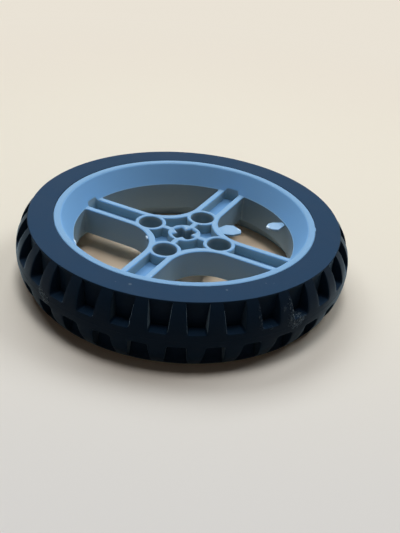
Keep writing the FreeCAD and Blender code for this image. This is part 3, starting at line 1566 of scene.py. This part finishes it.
@dataclass(frozen=True)
class BluePlastic:
    """Satin pale blue moulding, whitened breaks, and painted light and shade: brighter dish,
    darker floors and lips, greyer walls, paler recesses and mouths.
    """

    window_centre: float
    window_r: float
    pin_spacing: float
    hole_r: float
    marks: tuple[Spot, ...]
    base: Colour = (0.272, 0.435, 0.615)
    drifted: Colour = (0.26, 0.42, 0.60)
    # Painted light: sloped faces, the dish cones most, are painted brighter and bluer
    dish: Colour = (0.25, 0.485, 0.78)
    # Painted shade: the lips are painted darker than the other level faces
    lip: Colour = (0.225, 0.39, 0.58)
    # Painted shade: the floors of the recesses are painted darker
    painted_floor_shade: Colour = (0.155, 0.32, 0.55)
    # Painted shade: upright walls of the windows are painted greyer and darker
    wall: Colour = (0.25, 0.35, 0.425)
    # Painted light: upright walls of the troughs and pockets are painted paler than the window
    # walls
    recess: Colour = (0.33, 0.44, 0.475)
    # Painted light: upright walls within the plate are painted lighter towards their mouths
    painted_mouth_light: Colour = (0.50, 0.58, 0.59)
    whitened: Colour = (0.80, 0.88, 0.95)
    dust: Dust = Dust((0.85, 0.86, 0.85), scale=700.0, amount=0.35)
    skin: Skin = Skin(fine=6000.0, coarse=110.0, strength=0.06, depth=0.2, rough=(0.41, 0.51))
    drift_reach: Point = (0.35, 0.65)
    # Distances from the middle of the plate's height
    plate_middle: float = -0.5
    floor_reach: Point = (0.9, 1.6)
    mouth_reach: Point = (1.6, 2.9)
    mouth_share: float = 0.85
    lip_reach: Point = (4.5, 6.0)
    # Which way a surface looks: 1 up, 0 sideways and -1 down
    slope_reach: Point = (0.7, 0.95)
    upright_reach: Point = (0.1, 0.4)
    under_reach: Point = (-0.95, -0.85)
    # Distances past the window's wall and past the holes
    wall_reach: Point = (0.5, 1.1)
    hole_reach: Point = (0.1, 0.5)
    specular: float = 0.17

    def material(self, effects: Effects) -> bpy.types.Material:
        """Makes the finish.

        Args:
            effects: the shared node groups.

        Returns:
            The material.
        """
        finish = Finish("blue_plastic", effects)
        drift, bump = self.skin.lay(finish)
        away = finish.math("SUBTRACT", finish.axes(finish.place)[2], self.plate_middle * MM)
        away = finish.math("ABSOLUTE", away)
        facing = finish.facing()
        sideways = finish.fall(facing, *self.upright_reach)
        upright = finish.math("MULTIPLY", sideways, finish.rise(facing, *self.under_reach))
        # Painted light and shade: the floors, lips, dish and upright walls below; the drift,
        # whitened marks and dust are the plastic's own
        colour = finish.paint(
            self.drifted,
            (finish.rise(drift, *self.drift_reach), self.base),
            (finish.fall(away, *metres(self.floor_reach)), self.painted_floor_shade),
            (finish.rise(away, *metres(self.lip_reach)), self.lip),
            (finish.fall(finish.math("ABSOLUTE", facing), *self.slope_reach), self.dish),
            (upright, self.walls(finish, away)),
            *((mark.mask(finish), self.whitened) for mark in self.marks),
            self.dust.layer(finish),
        )
        surface = {"Base Color": colour, "Normal": bump, "Specular IOR Level": self.specular}
        finish.fill(finish.surface.inputs, surface)
        return finish.material

    def walls(self, finish: Finish, away: Any) -> Any:
        """Colour of upright walls, painted shade and light: greyer in windows, paler in recesses
        and lighter towards mouths.

        Args:
            finish: the finish.
            away: distance from the middle of the plate's height.

        Returns:
            The colour.
        """
        within, sunk = self.inside(finish)
        mouth = finish.spread(away, *metres(self.mouth_reach), 0.0, self.mouth_share)
        mouth = finish.math("MULTIPLY", within, mouth)
        # Painted shade on the window walls, painted light in the recesses and towards the mouths
        return finish.paint(self.wall, (sunk, self.recess), (mouth, self.painted_mouth_light))

    def inside(self, finish: Finish) -> tuple[Any, Any]:
        """Masks of what lies within the plate's outer walls.

        Args:
            finish: the finish.

        Returns:
            A mask that is 0 only on the walls of the windows, and one that is 0 in holes too.
        """
        corner = (self.window_centre * MM, self.window_centre * MM, 0.0)
        quarter = finish.vector("ABSOLUTE", finish.place)
        gap = finish.vector("SUBTRACT", corner, quarter)
        reach = finish.vector("LENGTH", finish.vector("MAXIMUM", gap, (0.0, 0.0, 0.0)))
        within = finish.rise(reach, *metres(self.wall_reach, self.window_r))
        x, y, _ = finish.axes(quarter)
        along, across = finish.math("MAXIMUM", x, y), finish.math("MINIMUM", x, y)
        spoke = finish.node("CombineXYZ", {"X": along, "Y": across}).outputs[0]
        from_pin = finish.vector("DISTANCE", spoke, (self.pin_spacing * MM, 0.0, 0.0))
        clear = finish.math("MINIMUM", finish.vector("LENGTH", spoke), from_pin)
        holes = finish.rise(clear, *metres(self.hole_reach, self.hole_r))
        return within, finish.math("MULTIPLY", within, holes)


@dataclass(frozen=True)
class BlackRubber:
    """Dull black rubber with a fine skin, a painted reflection that makes level faces lighter and
    bluer, and torn spots.
    """

    face_height: float
    marks: tuple[Spot, ...]
    specks: tuple[Spot, ...]
    base: Colour = (0.002, 0.008, 0.018)
    # Painted reflection: level faces are painted lighter and bluer than the tread, the sidewalls
    # fully and the ledges in part
    sidewall: Colour = (0.0165, 0.043, 0.085)
    mottled_painted_reflection: Colour = (0.0195, 0.048, 0.093)
    scuffed: Colour = (0.20, 0.24, 0.26)
    dust: Dust = Dust((0.42, 0.44, 0.44), scale=800.0, amount=0.2)
    skin: Skin = Skin(fine=4000.0, coarse=150.0, strength=0.12, depth=0.3, rough=(0.50, 0.63))
    mottle_reach: Point = (0.4, 0.75)
    level_reach: Point = (0.8, 0.98)
    # Distances from the sidewall's height, and the painted reflection's share on level faces below
    # them
    face_reach: Point = (-0.6, -0.2)
    ledge_share: float = 0.22
    crumb_scale: float = 2600.0
    crumb_reach: Point = (0.52, 0.68)
    crumb_strength: float = 0.6
    crumb_depth: float = 0.8
    specular: float = 0.05
    sheen: float = 0.34
    sheen_roughness: float = 0.3
    sheen_tint: Colour = (0.62, 0.85, 1.0)

    def material(self, effects: Effects) -> bpy.types.Material:
        """Makes the finish.

        Args:
            effects: the shared node groups.

        Returns:
            The material.
        """
        finish = Finish("black_rubber", effects)
        drift, skin = self.skin.lay(finish)
        mottle = finish.rise(drift, *self.mottle_reach)
        level = finish.rise(finish.math("ABSOLUTE", finish.facing()), *self.level_reach)
        height = finish.math("ABSOLUTE", finish.axes(finish.place)[2])
        outer = metres(self.face_reach, self.face_height)
        # Painted reflection on level faces: full on the sidewalls, a share on the ledges below
        # them
        flat = finish.math("MULTIPLY", level, finish.spread(height, *outer, self.ledge_share, 1.0))
        crumbs = finish.noise(finish.place, self.crumb_scale)
        torn: Any = 0.0
        for mark in self.marks:
            torn = finish.math("MAXIMUM", torn, mark.mask(finish))
        flecks = finish.math("MULTIPLY", torn, finish.rise(crumbs, *self.crumb_reach))
        colour = finish.paint(
            self.base,
            (flat, finish.paint(self.sidewall, (mottle, self.mottled_painted_reflection))),
            *((speck.mask(finish), self.scuffed) for speck in self.specks),
            (flecks, self.scuffed),
            self.dust.layer(finish),
        )
        pits = {
            "Height": finish.math("MULTIPLY", torn, crumbs),
            "Strength": self.crumb_strength,
            "Distance": self.crumb_depth * MM,
            "Normal": skin,
        }
        surface = {
            "Base Color": colour,
            "Normal": finish.node("Bump", pits).outputs[0],
            "Specular IOR Level": self.specular,
            "Sheen Weight": self.sheen,
            "Sheen Roughness": self.sheen_roughness,
            "Sheen Tint": self.sheen_tint,
        }
        finish.fill(finish.surface.inputs, surface)
        return finish.material


@dataclass(frozen=True)
class PaleTable:
    """Plain pale table top with painted light: greyer and darker in front, painted warm shade by
    the wheel, warmer and darker far off, fading into the backdrop.

    Its distances are metres from the wheel, or along its depth.
    """

    # Painted light across the table: greyer and darker in front, warmer and darker far off
    near: Colour = (0.78, 0.675, 0.60)
    base: Colour = (0.90, 0.745, 0.582)
    # Painted shade: warmer and darker under and round the wheel
    warm: Colour = (0.90, 0.66, 0.46)
    far: Colour = (0.79, 0.625, 0.48)
    depth: Corner = (-0.448, 0.894, 0.0)
    near_reach: Point = (-0.09, 0.03)
    warm_reach: Point = (0.030, 0.036)
    far_reach: Point = (0.05, 0.26)
    fade_reach: Point = (0.08, 0.2)
    fine: float = 900.0
    coarse: float = 300.0
    waviness: float = 0.002
    roughness: float = 0.85
    specular: float = 0.2

    def material(self, effects: Effects) -> bpy.types.Material:
        """Makes the finish.

        Args:
            effects: the shared node groups.

        Returns:
            The material.
        """
        finish = Finish("pale_table", effects)
        reach = finish.vector("LENGTH", finish.place)
        drift = finish.use(effects.grain, Fine=self.fine, Coarse=self.coarse)["Drift"]
        waved = finish.math("ADD", reach, finish.math("MULTIPLY", drift, self.waviness))
        along = finish.vector("DOT_PRODUCT", finish.place, self.depth)
        # Painted light: greyer in front, warm shade by the wheel, warmer and darker far off
        colour = finish.paint(
            self.near,
            (finish.rise(along, *self.near_reach), self.base),
            (finish.fall(waved, *self.warm_reach), self.warm),
            (finish.rise(waved, *self.far_reach), self.far),
        )
        surface = {"Roughness": self.roughness, "Specular IOR Level": self.specular}
        finish.fill(finish.surface.inputs, {"Base Color": colour, **surface})
        fade = finish.math("MULTIPLY", finish.seen(), finish.rise(reach, *self.fade_reach))
        glow = finish.node("Emission", {"Color": BACKDROP})
        shown = finish.either(fade, finish.surface, glow)
        finish.fill(finish.output.inputs, {"Surface": shown})
        return finish.material


# Studio


@dataclass(frozen=True)
class Softbox:
    """One soft lamp, placed by where it stands round the wheel as the camera sees it.

    Its bearing and elevation are degrees, and its distance and size metres.
    """

    name: str
    bearing: float
    elevation: float
    width: float
    height: float
    power: float
    colour: Colour
    distance: float = 1.4

    def hang(self, camera_bearing: float) -> None:
        """Adds the lamp, facing the wheel.

        Args:
            camera_bearing: bearing of the camera, in degrees.
        """
        turn_by = math.radians(camera_bearing + self.bearing)
        rise = math.radians(self.elevation)
        level = Vector((math.cos(turn_by), math.sin(turn_by), 0))
        place = level * math.cos(rise) + Vector((0, 0, math.sin(rise)))
        clear_bench()
        bpy.ops.object.light_add(type="AREA", location=place * self.distance)
        lamp = bpy.context.object
        lamp.name = self.name
        lamp.rotation_euler = place.to_track_quat("Z", "Y").to_euler()
        lamp.data.shape = "RECTANGLE"
        lamp.data.size = self.width
        lamp.data.size_y = self.height
        lamp.data.energy = self.power
        lamp.data.color = self.colour


@dataclass
class Studio:
    """Pale table, soft light and the camera."""

    table_z: float
    table_size: float = 6.0
    eye: Corner = (62.02, -123.90, 79.99)
    aim: Corner = (2.66, 3.35, -6.6)
    roll: float = 5.14
    focal_px: float = 774.7
    sensor_width: float = 36.0
    clip_start: float = 0.005
    room_colour: Colour = (1.0, 0.9, 0.78)
    room_strength: float = 0.04
    softboxes: tuple[Softbox, ...] = (
        Softbox("back_softbox", 203, 52, width=1.1, height=0.5, power=12.0, colour=COOL_LIGHT),
        Softbox("side_softbox", 126, 46, width=0.7, height=0.5, power=8.0, colour=COOL_LIGHT),
        Softbox("top_lamp", 175, 84, width=0.4, height=0.4, power=7.0, colour=(0.87, 0.94, 1.0)),
        Softbox("front_fill", 345, 35, width=0.8, height=0.6, power=0.2, colour=(0.8, 0.9, 1.0)),
    )

    def table(self, effects: Effects) -> None:
        """Lays the plain table that the wheel lies on.

        Args:
            effects: the shared node groups.
        """
        clear_bench()
        place = (0, 0, self.table_z * MM)
        bpy.ops.mesh.primitive_plane_add(size=self.table_size, location=place)
        table = bpy.context.object
        table.name = "table_top"
        wear(table, PaleTable().material(effects))

    def lamps(self) -> None:
        """Hangs cool softboxes behind, beside and above the wheel, and a faint one in front."""
        bearing = math.degrees(math.atan2(self.eye[1], self.eye[0]))
        for softbox in self.softboxes:
            softbox.hang(bearing)

    def room(self) -> None:
        """Dim warm light from all round, and the pale backdrop that the camera and gloss see."""
        world = bpy.data.worlds.new("room")
        world.use_nodes = True
        wiring = Wiring(world.node_tree)
        light = {"Color": self.room_colour, "Strength": self.room_strength}
        glow = wiring.node("Background", light)
        backdrop = wiring.node("Background", {"Color": BACKDROP})
        shown = wiring.either(wiring.seen(), glow, backdrop)
        wiring.node("OutputWorld", {"Surface": shown})
        bpy.context.scene.world = world

    def camera(self) -> None:
        """Places the camera where the photograph was taken from."""
        data = bpy.data.cameras.new("portrait_camera")
        data.sensor_width = self.sensor_width
        data.lens = self.focal_px * self.sensor_width / PHOTO_HEIGHT_PX
        data.clip_start = self.clip_start
        camera = bpy.data.objects.new("portrait_camera", data)
        bpy.context.scene.collection.objects.link(camera)
        eye, aim = Vector(self.eye) * MM, Vector(self.aim) * MM
        look = (aim - eye).to_track_quat("-Z", "Y").to_matrix().to_4x4()
        tilt = Matrix.Rotation(math.radians(self.roll), 4, "Z")
        camera.matrix_world = Matrix.Translation(eye) @ look @ tilt
        bpy.context.scene.camera = camera


def main() -> None:
    """Builds the wheel and its studio, and reports each piece."""
    logging.basicConfig(level=logging.INFO, format="%(name)s: %(message)s")
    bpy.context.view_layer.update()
    effects = Effects(grain_effect(), spot_effect(), dust_effect())
    rim = Rim.from_frame()
    tyre = Tyre.from_frame(rim)
    for part in (rim, tyre):
        piece = part.build()
        part.dress(piece, effects)
        log.info("%s: %d faces", piece.name, len(piece.data.polygons))
    studio = Studio(table_z=-tyre.half_width)
    studio.table(effects)
    studio.lamps()
    studio.room()
    studio.camera()
    bpy.context.scene.view_settings.view_transform = "Standard"


if __name__ == "__main__":
    main()
